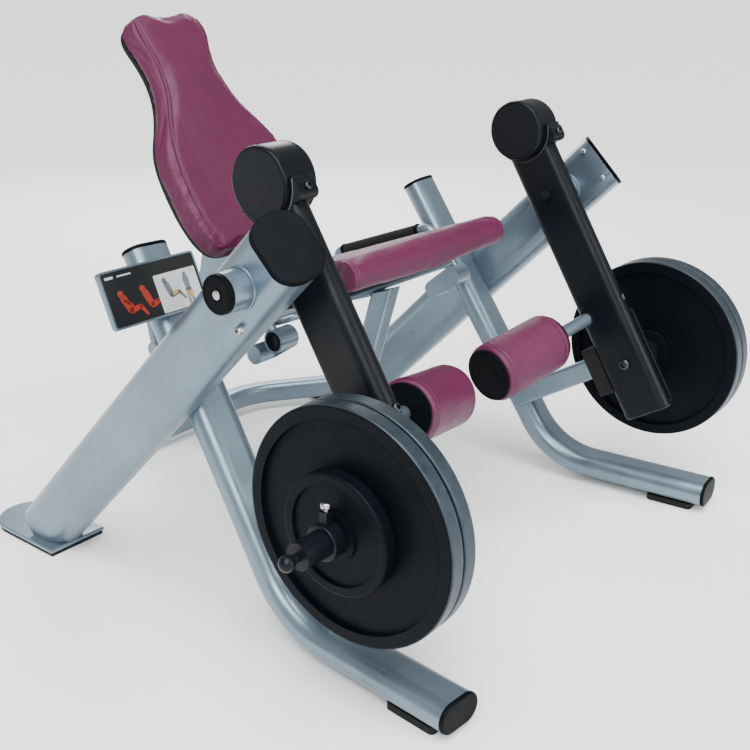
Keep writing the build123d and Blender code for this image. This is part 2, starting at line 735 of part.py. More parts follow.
arm_bodies = {}
for name, side in SIDES:
    arm_side_view = Plane(arm_place(0, 0, side * arm_x), x_dir=down_arm, z_dir=(-1, 0, 0))
    arm_start = Plane(arm_place(arm_top, arm_offset, side * arm_x), x_dir=LATERAL, z_dir=down_arm)
    with BuildPart() as arm_body:
        with BuildSketch(arm_start):
            SlotOverall(arm_depth, arm_width, rotation=90)
        extrude(amount=arm_bottom - arm_top)
        lower_end = arm_body.faces().sort_by(Axis((0, 0, 0), down_arm))[-1]
        fillet(lower_end.edges(), radius=6)
        with BuildSketch(arm_side_view):
            with Locations((counterweight_down, weight_offset)):
                Circle(saddle_outer_radius)
            with Locations((counterweight_down - 200, weight_offset)):
                Rectangle(400 + 2 * (saddle_up - counterweight_down), 400, mode=Mode.SUBTRACT)
        extrude(amount=arm_width / 2, both=True)
        with BuildSketch(arm_side_view):
            with Locations((ear_down, ear_ahead)):
                RectangleRounded(ear_length, ear_depth, 13)
        extrude(amount=arm_width / 2, both=True)
        disc(arm_inner_x - 1, arm_outer_x + 1, saddle_bore, side, counterweight_centre, Mode.SUBTRACT)
    arm_bodies[name] = arm_body.part

    with BuildPart() as lever_arm:
        add(arm_body.part)
        with BuildSketch(arm_start):
            SlotOverall(arm_depth - 2 * arm_wall, arm_width - 2 * arm_wall, rotation=90)
        extrude(amount=arm_bottom - arm_top - arm_wall, mode=Mode.SUBTRACT)
        disc(arm_inner_x - 1, arm_outer_x + 1, shaft_radius + 0.1, side, pivot, Mode.SUBTRACT)
    lever_arm.part.label = f"lever_arm_{name}"
    export_step(lever_arm.part, f"parts/lever_arm_{name}.step")

    with BuildPart() as counterweight:
        body_inner_x = counterweight_inner_x + end_cap_thickness + fitting_gap
        body_outer_x = counterweight_outer_x - end_cap_thickness - fitting_gap
        disc(body_inner_x, body_outer_x, counterweight_radius, side, counterweight_centre)
    counterweight.part.label = f"counterweight_{name}"
    export_step(counterweight.part, f"parts/counterweight_{name}.step")

    with BuildPart() as counterweight_caps:
        cap_edge = counterweight_inner_x + end_cap_thickness
        disc(counterweight_inner_x, cap_edge, counterweight_radius, side, counterweight_centre)
        inner_face = counterweight_caps.faces().sort_by(Axis((0, 0, 0), (side, 0, 0)))[0]
        fillet(inner_face.edges(), radius=6)
        cap_edge = counterweight_outer_x - end_cap_thickness
        disc(cap_edge, counterweight_outer_x, counterweight_radius, side, counterweight_centre)
        outer_face = counterweight_caps.faces().sort_by(Axis((0, 0, 0), (side, 0, 0)))[-1]
        fillet(outer_face.edges(), radius=6)
    counterweight_caps.part.label = f"counterweight_caps_{name}"
    export_step(counterweight_caps.part, f"parts/counterweight_caps_{name}.step")

    with BuildPart() as arm_bolts:
        bolt_plane = side_plane(arm_inner_x - fitting_gap, arm_inner_x - fitting_gap, side)
        with BuildSketch(bolt_plane):
            with Locations((horn.Y, horn.Z)):
                Circle(14)
        extrude(amount=-side * 9)
        bolt_spots = ((302, arm_offset + arm_depth / 2, 9), (ear_down, ear_ahead + ear_depth / 2, 8))
        for down, ahead, radius in bolt_spots:
            bolt_start = arm_place(down, ahead + fitting_gap, side * arm_x)
            with BuildSketch(Plane(bolt_start, x_dir=LATERAL, z_dir=ahead_of_arm)):
                Circle(radius)
            extrude(amount=7)
    arm_bolts.part.label = f"arm_bolts_{name}"
    export_step(arm_bolts.part, f"parts/arm_bolts_{name}.step")

    with BuildPart() as pivot_shaft:
        disc(arm_inner_x - fitting_gap, shaft_end_x, shaft_radius, side, pivot)
        with BuildSketch(Plane.YZ.offset(side * (arm_inner_x - fitting_gap))):
            with Locations((pivot.Y, pivot.Z)):
                Circle(18)
        extrude(amount=-side * (arm_inner_x - fitting_gap - shaft_head_x), taper=14)
    pivot_shaft.part.label = f"pivot_shaft_{name}"
    export_step(pivot_shaft.part, f"parts/pivot_shaft_{name}.step")

    # ------------------------------------------------------------ roller

    roller_axis = Vector(side, -0.17, 0.17).normalized()
    roller_end = Vector(side * roller_inner_x, roller_middle_y, roller_middle_z)
    with BuildPart() as roller_pad:
        with BuildSketch(Plane(roller_end, z_dir=roller_axis)):
            Circle(roller_radius)
        extrude(amount=roller_length)
        fillet(roller_pad.edges(), radius=8)
        with BuildSketch(Plane(roller_end, z_dir=roller_axis)):
            Circle(roller_bore + running_gap)
        extrude(amount=roller_length, mode=Mode.SUBTRACT)
    roller_pad.part.label = f"roller_pad_{name}"
    export_step(roller_pad.part, f"parts/roller_pad_{name}.step")

    with BuildPart() as roller_core:
        for start in (-roller_disc_thickness - fitting_gap, roller_length + fitting_gap):
            with BuildSketch(Plane(roller_end + roller_axis * start, z_dir=roller_axis)):
                Circle(roller_disc_radius)
            extrude(amount=roller_disc_thickness)
        fillet(roller_core.edges(), radius=2)
        with BuildSketch(Plane(roller_end - roller_axis * fitting_gap, z_dir=roller_axis)):
            Circle(roller_bore)
        extrude(amount=roller_length + 2 * fitting_gap)
        with BuildSketch(Plane(roller_end, z_dir=roller_axis)):
            Circle(roller_shaft_radius + running_gap)
        extrude(amount=roller_length + 20, mode=Mode.SUBTRACT)
    roller_core.part.label = f"roller_core_{name}"
    export_step(roller_core.part, f"parts/roller_core_{name}.step")

    with BuildPart() as roller_shaft:
        with BuildSketch(Plane(roller_end + roller_axis * roller_end_room, z_dir=roller_axis)):
            Circle(roller_shaft_radius)
        extrude(amount=roller_length + 160)
        add(arm_bodies[name], mode=Mode.SUBTRACT)
    roller_shaft.part.label = f"roller_shaft_{name}"
    export_step(roller_shaft.part, f"parts/roller_shaft_{name}.step")

    # ------------------------------------------------------------ horn

    horn_side_view = Plane((0, horn.Y, horn.Z), x_dir=(side, 0, 0), z_dir=(0, -1, 0))
    base_x = arm_outer_x + fitting_gap
    horn_steps = (
        (base_x + 5, 505, 45),
        (505, 548, 30),
        (548, big_plate_inner_x - moving_gap, 52),
        (big_plate_inner_x - moving_gap, horn_end_x, horn_radius),
        (horn_end_x, horn_ball_x, 8),
    )
    with BuildPart() as weight_horn:
        with BuildSketch(horn_side_view):
            for start, end, radius in horn_steps:
                with Locations(((start + end) / 2, radius / 2)):
                    Rectangle(end - start, radius)
            with Locations((horn_ball_x, 0)):
                Circle(horn_ball_radius)
            with Locations((horn_ball_x, -horn_ball_radius)):
                Rectangle(4 * horn_ball_radius, 2 * horn_ball_radius, mode=Mode.SUBTRACT)
        revolve(axis=Axis((0, horn.Y, horn.Z), (1, 0, 0)))
        base_middle = arm_place(457.5, arm_offset, side * base_x)
        with BuildSketch(Plane(base_middle, x_dir=down_arm, z_dir=(side, 0, 0))):
            RectangleRounded(255, 112, 14)
        extrude(amount=10)
    weight_horn.part.label = f"weight_horn_{name}"
    export_step(weight_horn.part, f"parts/weight_horn_{name}.step")

    # ------------------------------------------------------------ weight plates

    with BuildPart() as large_plates:
        for number in (0, 1):
            inner_x = big_plate_inner_x + number * (big_plate_thickness + 1)
            outer_x = inner_x + big_plate_thickness
            disc(inner_x, outer_x, big_plate_radius, side, horn)
            rim_edges = large_plates.edges(Select.LAST).filter_by(GeomType.CIRCLE)
            fillet(rim_edges, radius=6)
            for face_x, inwards in ((inner_x, 1), (outer_x, -1)):
                with BuildSketch(Plane.YZ.offset(side * face_x)):
                    with Locations((horn.Y, horn.Z)):
                        Circle(plate_rim_radius)
                        Circle(plate_hub_radius, mode=Mode.SUBTRACT)
                extrude(amount=side * inwards * plate_relief, mode=Mode.SUBTRACT)
            disc(inner_x - 1, outer_x + 1, plate_bore_radius, side, horn, Mode.SUBTRACT)
    large_plates.part.label = f"large_plates_{name}"
    export_step(large_plates.part, f"parts/large_plates_{name}.step")

    small_inner_x = big_plate_inner_x + 2 * big_plate_thickness + 1 + fitting_gap
    small_outer_x = small_inner_x + small_plate_thickness
    with BuildPart() as small_plate:
        disc(small_inner_x, small_outer_x, small_plate_radius, side, horn)
        fillet(small_plate.edges(), radius=5)
        with BuildSketch(Plane.YZ.offset(side * small_outer_x)):
            with Locations((horn.Y, horn.Z)):
                Circle(94)
                Circle(46, mode=Mode.SUBTRACT)
        extrude(amount=-side * 6, mode=Mode.SUBTRACT)
        disc(small_inner_x - 1, small_outer_x + 1, plate_bore_radius, side, horn, Mode.SUBTRACT)
    small_plate.part.label = f"small_plate_{name}"
    export_step(small_plate.part, f"parts/small_plate_{name}.step")

    collar_inner_x = small_outer_x + fitting_gap
    collar_outer_x = collar_inner_x + 32
    with BuildPart() as collar:
        disc(collar_inner_x, collar_outer_x, 33, side, horn)
        fillet(collar.edges(), radius=3)
        with BuildSketch(side_plane(collar_inner_x, collar_outer_x, side)):
            with Locations((horn.Y, horn.Z + 40)):
                Rectangle(16, 30)
        extrude(amount=9, both=True)
        disc(collar_inner_x - 1, collar_outer_x + 1, plate_bore_radius, side, horn, Mode.SUBTRACT)
    collar.part.label = f"collar_{name}"
    export_step(collar.part, f"parts/collar_{name}.step")
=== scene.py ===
import json
import math

import bmesh
import bpy
from mathutils import Matrix, Vector, noise


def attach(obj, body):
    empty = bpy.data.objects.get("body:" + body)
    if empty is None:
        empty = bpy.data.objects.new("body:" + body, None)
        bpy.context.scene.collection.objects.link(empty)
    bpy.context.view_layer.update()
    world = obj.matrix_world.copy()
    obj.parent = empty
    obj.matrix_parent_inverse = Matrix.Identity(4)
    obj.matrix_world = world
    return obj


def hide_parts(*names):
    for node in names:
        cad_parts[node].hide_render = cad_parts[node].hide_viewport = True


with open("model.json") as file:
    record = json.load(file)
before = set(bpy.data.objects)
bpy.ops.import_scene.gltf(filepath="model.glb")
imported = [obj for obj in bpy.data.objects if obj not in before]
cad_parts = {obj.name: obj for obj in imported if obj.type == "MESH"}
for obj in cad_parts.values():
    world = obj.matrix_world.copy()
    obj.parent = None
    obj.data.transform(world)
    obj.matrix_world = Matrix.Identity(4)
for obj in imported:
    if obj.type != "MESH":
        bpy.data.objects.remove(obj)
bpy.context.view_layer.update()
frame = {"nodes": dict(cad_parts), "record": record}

SIDES = (("right", -1), ("left", 1))
MM = 0.001
PIVOT = Vector((0, -0.246, 0.760))
ARM_LEAN = math.radians(31.4)
SEAT_TILT = math.radians(20)
RECLINE = math.radians(33)
BACK_TOP = Vector((0, 0.633, 1.173))
HORN = Vector((0, -0.4932, 0.3790))
EAST = Vector((1, 0, 0))
ALONG_SEAT = Vector((0, math.cos(SEAT_TILT), -math.sin(SEAT_TILT)))
OUT_OF_SEAT = Vector((0, math.sin(SEAT_TILT), math.cos(SEAT_TILT)))
UP_BACK = Vector((0, math.sin(RECLINE), math.cos(RECLINE)))
OUT_OF_BACK = Vector((0, -math.cos(RECLINE), math.sin(RECLINE)))
DOWN_ARM = Vector((0, -math.sin(ARM_LEAN), -math.cos(ARM_LEAN)))
AHEAD_OF_ARM = Vector((0, -math.cos(ARM_LEAN), math.sin(ARM_LEAN)))
DOWN_BEAM = Vector((0, 1, -1)).normalized()


# ------------------------------------------------------------------ materials

def material(name, color, roughness, metallic=0.0, specular=0.5, coat=0.0, sheen=0.0):
    """A principled material, with its node tree, shader and object coordinates."""
    made = bpy.data.materials.new(name)
    made.use_nodes = True
    tree = made.node_tree
    shader = tree.nodes["Principled BSDF"]
    shader.inputs["Base Color"].default_value = (*color, 1)
    shader.inputs["Roughness"].default_value = roughness
    shader.inputs["Metallic"].default_value = metallic
    shader.inputs["Specular IOR Level"].default_value = specular
    shader.inputs["Coat Weight"].default_value = coat
    shader.inputs["Coat Roughness"].default_value = 0.25
    shader.inputs["Sheen Weight"].default_value = sheen
    coords = tree.nodes.new("ShaderNodeTexCoord")
    return made, tree, shader, coords.outputs["Object"]


def noise_node(tree, coords, scale, detail=3.0, rough=0.5):
    node = tree.nodes.new("ShaderNodeTexNoise")
    node.inputs["Scale"].default_value = scale
    node.inputs["Detail"].default_value = detail
    node.inputs["Roughness"].default_value = rough
    tree.links.new(coords, node.inputs["Vector"])
    return node.outputs["Fac"]


def ramp(tree, value, low, high, first, last):
    """A number mapped from low-high to first-last."""
    node = tree.nodes.new("ShaderNodeMapRange")
    node.inputs["From Min"].default_value = low
    node.inputs["From Max"].default_value = high
    node.inputs["To Min"].default_value = first
    node.inputs["To Max"].default_value = last
    tree.links.new(value, node.inputs["Value"])
    return node.outputs["Result"]


def mix_color(tree, factor, first, second):
    node = tree.nodes.new("ShaderNodeMix")
    node.data_type = "RGBA"
    for socket, value in ((node.inputs[6], first), (node.inputs[7], second)):
        if isinstance(value, tuple):
            socket.default_value = (*value, 1)
        else:
            tree.links.new(value, socket)
    if isinstance(factor, float):
        node.inputs[0].default_value = factor
    else:
        tree.links.new(factor, node.inputs[0])
    return node.outputs[2]


def math_node(tree, operation, first, second=0.0):
    node = tree.nodes.new("ShaderNodeMath")
    node.operation = operation
    for socket, value in ((node.inputs[0], first), (node.inputs[1], second)):
        if isinstance(value, (int, float)):
            socket.default_value = value
        else:
            tree.links.new(value, socket)
    return node.outputs[0]


def add_bump(tree, shader, height, distance, strength=1.0):
    """Puts a bump under the shader; a second call is added on top of the first."""
    node = tree.nodes.new("ShaderNodeBump")
    node.inputs["Distance"].default_value = distance
    node.inputs["Strength"].default_value = strength
    tree.links.new(height, node.inputs["Height"])
    normal = shader.inputs["Normal"]
    if normal.links:
        tree.links.new(normal.links[0].from_socket, node.inputs["Normal"])
    tree.links.new(node.outputs["Normal"], normal)


def painted(name, color, dark, roughness, metallic, grain, coat=0.1, specular=0.5):
    """Powder coat: a fine orange peel, faint colour drift and slightly uneven gloss."""
    made, tree, shader, coords = material(name, color, roughness, metallic, specular, coat)
    drift = noise_node(tree, coords, 5, 4)
    base = mix_color(tree, ramp(tree, drift, 0.35, 0.65, 0.0, 1.0), color, dark)
    fleck = noise_node(tree, coords, 1400, 2)
    base = mix_color(tree, ramp(tree, fleck, 0.62, 0.78, 0.0, 0.25), base, tuple(min(1, c * 1.5 + 0.004) for c in color))
    tree.links.new(base, shader.inputs["Base Color"])
    handled = noise_node(tree, coords, 18, 5, 0.6)
    tree.links.new(ramp(tree, handled, 0.3, 0.75, roughness - 0.05, roughness + 0.09), shader.inputs["Roughness"])
    add_bump(tree, shader, noise_node(tree, coords, 620, 3), 0.00012 * grain)
    return made


def leather(name, color, shade):
    """Vinyl upholstery: pebbled grain with fine creases, darker in the valleys as painted shade."""
    made, tree, shader, coords = material(name, color, 0.40, specular=0.34)
    cells = tree.nodes.new("ShaderNodeTexVoronoi")
    cells.feature = "DISTANCE_TO_EDGE"
    cells.inputs["Scale"].default_value = 620
    tree.links.new(coords, cells.inputs["Vector"])
    pebble = ramp(tree, cells.outputs["Distance"], 0.0, 0.22, 0.0, 1.0)
    drift = noise_node(tree, coords, 7, 3)
    base = mix_color(tree, ramp(tree, drift, 0.3, 0.7, 0.0, 1.0), color, tuple(c * 0.82 for c in color))
    # painted shade: the grain valleys are mixed towards the shade colour
    base = mix_color(tree, ramp(tree, cells.outputs["Distance"], 0.0, 0.12, 0.55, 0.0), base, shade)
    tree.links.new(base, shader.inputs["Base Color"])
    rub = noise_node(tree, coords, 24, 4)
    tree.links.new(ramp(tree, rub, 0.3, 0.7, 0.36, 0.50), shader.inputs["Roughness"])
    add_bump(tree, shader, pebble, 0.00016)
    add_bump(tree, shader, noise_node(tree, coords, 90, 4), 0.0005, 0.6)
    return made


def moulded(name, color, roughness, scale=900, depth=0.00012, specular=0.22):
    """Moulded plastic or rubber with a fine spark-eroded texture."""
    made, tree, shader, coords = material(name, color, roughness, specular=specular)
    drift = noise_node(tree, coords, 12, 4)
    pale = tuple(min(1, c * 1.7 + 0.0015) for c in color)
    tree.links.new(mix_color(tree, ramp(tree, drift, 0.4, 0.8, 0.0, 0.6), color, pale), shader.inputs["Base Color"])
    scuff = noise_node(tree, coords, 40, 6, 0.7)
    tree.links.new(ramp(tree, scuff, 0.35, 0.75, roughness, min(1.0, roughness + 0.14)), shader.inputs["Roughness"])
    add_bump(tree, shader, noise_node(tree, coords, scale, 2), depth)
    return made


def bare_steel(name, color, roughness):
    """Turned steel with fine circumferential variation."""
    made, tree, shader, coords = material(name, color, roughness, metallic=1.0)
    streak = noise_node(tree, coords, 300, 4, 0.6)
    tree.links.new(ramp(tree, streak, 0.3, 0.7, roughness, roughness + 0.12), shader.inputs["Roughness"])
    tree.links.new(mix_color(tree, noise_node(tree, coords, 30, 3), color, tuple(c * 0.86 for c in color)),
                   shader.inputs["Base Color"])
    add_bump(tree, shader, streak, 0.00003)
    return made


def foam(name, color):
    """Closed-cell foam: soft pits of about a millimetre, painted darker than their rims as shade."""
    made, tree, shader, coords = material(name, color, 0.82, specular=0.15)
    cells = tree.nodes.new("ShaderNodeTexVoronoi")
    cells.inputs["Scale"].default_value = 700
    tree.links.new(coords, cells.inputs["Vector"])
    # painted shade: the pits are darker and their rims lighter, following the bump
    tree.links.new(mix_color(tree, ramp(tree, cells.outputs["Distance"], 0.1, 0.6, 0.0, 1.0), color,
                             tuple(c * 2.2 + 0.004 for c in color)), shader.inputs["Base Color"])
    tree.links.new(ramp(tree, noise_node(tree, coords, 60, 3), 0.3, 0.7, 0.75, 0.92), shader.inputs["Roughness"])
    add_bump(tree, shader, cells.outputs["Distance"], 0.0004, 0.7)
    return made


def plate_iron(name):
    """Cast iron in dark enamel, with the turned rim left grey. Radii are measured from the horn."""
    dark, rim = (0.0022, 0.0031, 0.0044), (0.045, 0.060, 0.075)
    made, tree, shader, coords = material(name, dark, 0.42, specular=0.05)
    split = tree.nodes.new("ShaderNodeSeparateXYZ")
    tree.links.new(coords, split.inputs["Vector"])
    away_y = math_node(tree, "SUBTRACT", split.outputs["Y"], HORN.y)
    away_z = math_node(tree, "SUBTRACT", split.outputs["Z"], HORN.z)
    square = math_node(tree, "ADD", math_node(tree, "MULTIPLY", away_y, away_y),
                       math_node(tree, "MULTIPLY", away_z, away_z))
    radius = math_node(tree, "SQRT", square)
    on_rim = ramp(tree, radius, 0.2225, 0.2242, 0.0, 1.0)
    mottled = mix_color(tree, ramp(tree, noise_node(tree, coords, 260, 4), 0.4, 0.7, 0.0, 1.0), dark,
                        tuple(c * 1.7 for c in dark))
    worn = mix_color(tree, ramp(tree, noise_node(tree, coords, 45, 5), 0.4, 0.75, 0.0, 0.7), rim,
                     (0.028, 0.038, 0.048))
    tree.links.new(mix_color(tree, on_rim, mottled, worn), shader.inputs["Base Color"])
    tree.links.new(math_node(tree, "MULTIPLY", on_rim, 0.7), shader.inputs["Metallic"])
    gloss = ramp(tree, noise_node(tree, coords, 22, 4), 0.3, 0.7, 0.36, 0.50)
    tree.links.new(gloss, shader.inputs["Roughness"])
    add_bump(tree, shader, noise_node(tree, coords, 420, 3), 0.00022)
    return made


SILVER = painted("silver powder coat", (0.170, 0.232, 0.283), (0.138, 0.188, 0.232), 0.31, 0.72, 1.0)
BLACK_PAINT = painted("black powder coat", (0.0026, 0.0037, 0.0054), (0.0036, 0.0049, 0.0068), 0.34, 0.0, 1.0, 0.0, 0.14)
# light grey edge colour: worn paint and a painted highlight along the saddle edges
WORN_EDGE_AND_HIGHLIGHT = painted("worn black edge and painted highlight", (0.075, 0.085, 0.095), (0.035, 0.04, 0.045), 0.4, 0.4, 1.0, 0.0, 0.4)
BLACK_PLASTIC = moulded("black moulded plastic", (0.0018, 0.0025, 0.0034), 0.42, specular=0.045)
BOARD = moulded("black board", (0.0035, 0.0038, 0.0045), 0.6, 500, 0.0002)
RUBBER = moulded("black rubber", (0.006, 0.006, 0.0065), 0.72, 350, 0.0003)
FOAM = foam("black foam", (0.0045, 0.0048, 0.0055))
# the second colour is the painted shade for the grain valleys
LEATHER = leather("wine vinyl", (0.088, 0.0052, 0.041), (0.034, 0.0025, 0.014))
THREAD = moulded("dark thread", (0.030, 0.004, 0.012), 0.6, 1500, 0.0001)
IRON = plate_iron("enamelled iron")
STEEL = bare_steel("bright steel", (0.46, 0.47, 0.48), 0.2)
DARK_STEEL = bare_steel("blackened steel", (0.05, 0.054, 0.058), 0.28)
PAPER = moulded("printed sheet", (0.34, 0.36, 0.37), 0.35, 900, 0.00004)
INK = moulded("dark print", (0.008, 0.009, 0.010), 0.30, 900, 0.00004)
RED_INK = moulded("red print", (0.20, 0.022, 0.014), 0.35, 900, 0.00004)
YELLOW_INK = moulded("yellow print", (0.36, 0.24, 0.03), 0.35, 900, 0.00004)
GREY_INK = moulded("grey print", (0.09, 0.10, 0.11), 0.35, 900, 0.00004)

SLOT_MATERIALS = {
    "frame_paint": SILVER, "arm_paint": BLACK_PAINT, "black_plastic": BLACK_PLASTIC, "black_board": BOARD,
    "rubber": RUBBER, "foam_grip": FOAM, "upholstery": LEATHER, "plate_iron": IRON, "bright_steel": STEEL,
    "bolt_steel": DARK_STEEL, "placard_print": INK,
}
slot_of_node = {entry["node"]: entry["material_slot"] for entry in frame["record"]["subparts"]}
for node, obj in frame["nodes"].items():
    obj.data.materials.clear()
    obj.data.materials.append(SLOT_MATERIALS[slot_of_node[node]])


# ------------------------------------------------------------------ mesh helpers

def piece(name, verts, faces, mat, body, slot, smooth=True):
    """A new mesh object that rides on a body."""
    mesh = bpy.data.meshes.new(name)
    mesh.from_pydata([tuple(v) for v in verts], [], faces)
    tidy = bmesh.new()
    tidy.from_mesh(mesh)
    bmesh.ops.remove_doubles(tidy, verts=tidy.verts, dist=1e-6)
    bmesh.ops.recalc_face_normals(tidy, faces=tidy.faces)
    tidy.to_mesh(mesh)
    tidy.free()
    mesh.materials.append(mat)
    obj = bpy.data.objects.new(name, mesh)
    bpy.context.scene.collection.objects.link(obj)
    if smooth:
        mesh.shade_smooth()
        mesh.set_sharp_from_angle(angle=math.radians(38))
    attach(obj, body)
    return obj


def square_to(axis):
    """Two unit vectors square to an axis and to each other."""
    axis = Vector(axis).normalized()
    start = Vector((0, 0, 1)) if abs(axis.z) < 0.9 else Vector((1, 0, 0))
    first = axis.cross(start).normalized()
    return first, axis.cross(first)


def lathe_data(origin, axis, profile, segments=64):
    """Verts and faces of a turned solid; profile is (distance along the axis, radius[, sides]) in millimetres."""
    axis = Vector(axis).normalized()
    first, second = square_to(axis)
    verts, faces = [], []
    for step in profile:
        along, radius = step[0] * MM, step[1] * MM
        sides = step[2] if len(step) > 2 else 0
        for k in range(segments):
            angle = 2 * math.pi * k / segments
            reach = radius
            if sides:
                half = math.pi / sides
                reach = radius / math.cos((angle + half) % (2 * half) - half)
            spot = Vector(origin) + axis * along
            verts.append(spot + (first * math.cos(angle) + second * math.sin(angle)) * reach)
    for row in range(len(profile) - 1):
        for k in range(segments):
            a = row * segments + k
            b = row * segments + (k + 1) % segments
            faces.append((a, b, b + segments, a + segments))
    faces.append(tuple(range(segments))[::-1])
    faces.append(tuple(range(len(verts) - segments, len(verts))))
    return verts, faces


def merge(parts):
    """One list of verts and faces out of several."""
    verts, faces = [], []
    for some_verts, some_faces in parts:
        shift = len(verts)
        verts += list(some_verts)
        faces += [tuple(i + shift for i in face) for face in some_faces]
    return verts, faces


def tube_data(points, radius, closed=False, sides=10, ripple=0.0):
    """Verts and faces of a round bar along a line of points; radius in millimetres."""
    points = [Vector(p) for p in points]
    count = len(points)
    verts, faces = [], []
    normal = None
    for i, point in enumerate(points):
        ahead = points[(i + 1) % count] if closed or i + 1 < count else point
        behind = points[i - 1] if closed or i else point
        along = (ahead - behind).normalized()
        if normal is None:
            normal = square_to(along)[0]
        normal = (normal - along * normal.dot(along)).normalized()
        other = along.cross(normal)
        swell = 1 + ripple * math.sin(i * 1.9)
        for k in range(sides):
            angle = 2 * math.pi * k / sides
            verts.append(point + (normal * math.cos(angle) + other * math.sin(angle)) * radius * MM * swell)
    for i in range(count if closed else count - 1):
        for k in range(sides):
            a = i * sides + k
            b = i * sides + (k + 1) % sides
            c = ((i + 1) % count) * sides
            faces.append((a, b, c + (k + 1) % sides, c + k))
    if not closed:
        faces.append(tuple(range(sides))[::-1])
        faces.append(tuple(range((count - 1) * sides, count * sides)))
    return verts, faces


def ring_points(centre, axis, radius, count=96):
    first, second = square_to(axis)
    turn = [2 * math.pi * k / count for k in range(count)]
    return [Vector(centre) + (first * math.cos(t) + second * math.sin(t)) * radius * MM for t in turn]


def slab_data(centre, right, up, out, outline, low, high, bevel=0.6):
    """A flat plate with bevelled edges: outline points (x, y), and low and high are along out, all in millimetres."""
    def ring(level, inset):
        middle = Vector((sum(p[0] for p in outline), sum(p[1] for p in outline))) / len(outline)
        spots = []
        for x, y in outline:
            away = Vector((x, y)) - middle
            near = middle + away * max(0.0, 1 - inset / max(away.length, 1e-6))
            spots.append(Vector(centre) + Vector(right) * near.x * MM + Vector(up) * near.y * MM + Vector(out) * level * MM)
        return spots
    rings = [ring(low, 0), ring(high - bevel, 0), ring(high, bevel)]
    count = len(outline)
    verts = [v for r in rings for v in r]
    faces = [tuple(range(count))[::-1], tuple(range(2 * count, 3 * count))]
    for row in range(2):
        for k in range(count):
            a, b = row * count + k, row * count + (k + 1) % count
            faces.append((a, b, b + count, a + count))
    return verts, faces


def rounded(width, height, radius, corner=6, x=0.0, y=0.0):
    """The outline of a rounded rectangle."""
    spots = []
    for cx, cy, start in ((1, 1, 0), (-1, 1, 90), (-1, -1, 180), (1, -1, 270)):
        for k in range(corner + 1):
            angle = math.radians(start + 90 * k / corner)
            spots.append((x + cx * (width / 2 - radius) + radius * math.cos(angle),
                          y + cy * (height / 2 - radius) + radius * math.sin(angle)))
    return spots


def smooth_line(points, steps=12, closed=False):
    """Points along a Catmull-Rom curve through the given points."""
    points = [Vector(p) for p in points]
    count = len(points)
    line = []
    for i in range(count if closed else count - 1):
        if closed:
            p0, p1, p2, p3 = (points[(i + j) % count] for j in (-1, 0, 1, 2))
        else:
            p0, p1, p2, p3 = (points[min(max(i + j, 0), count - 1)] for j in (-1, 0, 1, 2))
        for k in range(steps):
            t = k / steps
            line.append(0.5 * ((2 * p1) + (p2 - p0) * t + (2 * p0 - 5 * p1 + 4 * p2 - p3) * t ** 2
                               + (3 * p1 - p0 - 3 * p2 + p3) * t ** 3))
    if not closed:
        line.append(points[-1])
    return line


def seat_at(along, up, x=0.0):
    return EAST * x * MM + ALONG_SEAT * along * MM + OUT_OF_SEAT * up * MM


def back_at(up, ahead, x=0.0):
    return BACK_TOP + EAST * x * MM + UP_BACK * up * MM + OUT_OF_BACK * ahead * MM


def arm_at(down, ahead, x=0.0):
    return PIVOT + EAST * x * MM + DOWN_ARM * down * MM + AHEAD_OF_ARM * ahead * MM


# ------------------------------------------------------------------ padded pieces

def remeshed(node, name, voxel):
    """A voxel remesh of a CAD node's solid, as a new mesh."""
    copy = bpy.data.objects.new(name + "_raw", frame["nodes"][node].data.copy())
    bpy.context.scene.collection.objects.link(copy)
    mod = copy.modifiers.new("voxels", "REMESH")
    mod.mode = "VOXEL"
    mod.voxel_size = voxel
    graph = bpy.context.evaluated_depsgraph_get()
    mesh = bpy.data.meshes.new_from_object(copy.evaluated_get(graph))
    bpy.data.objects.remove(copy)
    mesh.name = name
    mesh.materials.clear()
    mesh.materials.append(LEATHER)
    return mesh


def reshape(mesh, move):
    """Moves each vertex to move(position, normal)."""
    spots = [(v.co.copy(), v.normal.copy()) for v in mesh.vertices]
    for vertex, (spot, normal) in zip(mesh.vertices, spots):
        vertex.co = move(spot, normal)
    mesh.update()


def relax(mesh, rounds, held=None):
    tidy = bmesh.new()
    tidy.from_mesh(mesh)
    free = [v for v in tidy.verts if not (held and held(v.co))]
    for _ in range(rounds):
        bmesh.ops.smooth_vert(tidy, verts=free, factor=0.5, use_axis_x=True, use_axis_y=True, use_axis_z=True)
    tidy.to_mesh(mesh)
    tidy.free()


def inflate(obj, held, cap, pressure=4.0):
    """Swells a closed skin by cloth simulation, holding some vertices and capping every movement."""
    mesh = obj.data
    start = [v.co.copy() for v in mesh.vertices]
    group = obj.vertex_groups.new(name="held")
    fixed = [i for i, co in enumerate(start) if held(co)]
    if fixed:
        group.add(fixed, 1.0, "REPLACE")
    mod = obj.modifiers.new("cloth", "CLOTH")
    mod.settings.quality = 5
    mod.settings.mass = 0.3
    mod.settings.tension_stiffness = 12
    mod.settings.compression_stiffness = 12
    mod.settings.bending_stiffness = 0.8
    mod.settings.use_pressure = True
    mod.settings.uniform_pressure_force = pressure
    mod.settings.effector_weights.gravity = 0
    mod.settings.vertex_group_mass = "held"
    mod.collision_settings.use_collision = False
    scene = bpy.context.scene
    mod.point_cache.frame_start, mod.point_cache.frame_end = 1, 20
    for number in range(1, 21):
        scene.frame_set(number)
    graph = bpy.context.evaluated_depsgraph_get()
    swollen = obj.evaluated_get(graph).to_mesh()
    end = [v.co.copy() for v in swollen.vertices]
    obj.modifiers.remove(mod)
    obj.vertex_groups.clear()
    for vertex, a, b in zip(mesh.vertices, start, end):
        step = b - a
        if step.length > cap * MM:
            step *= cap * MM / step.length
        vertex.co = a + step
    mesh.update()
    scene.frame_set(1)


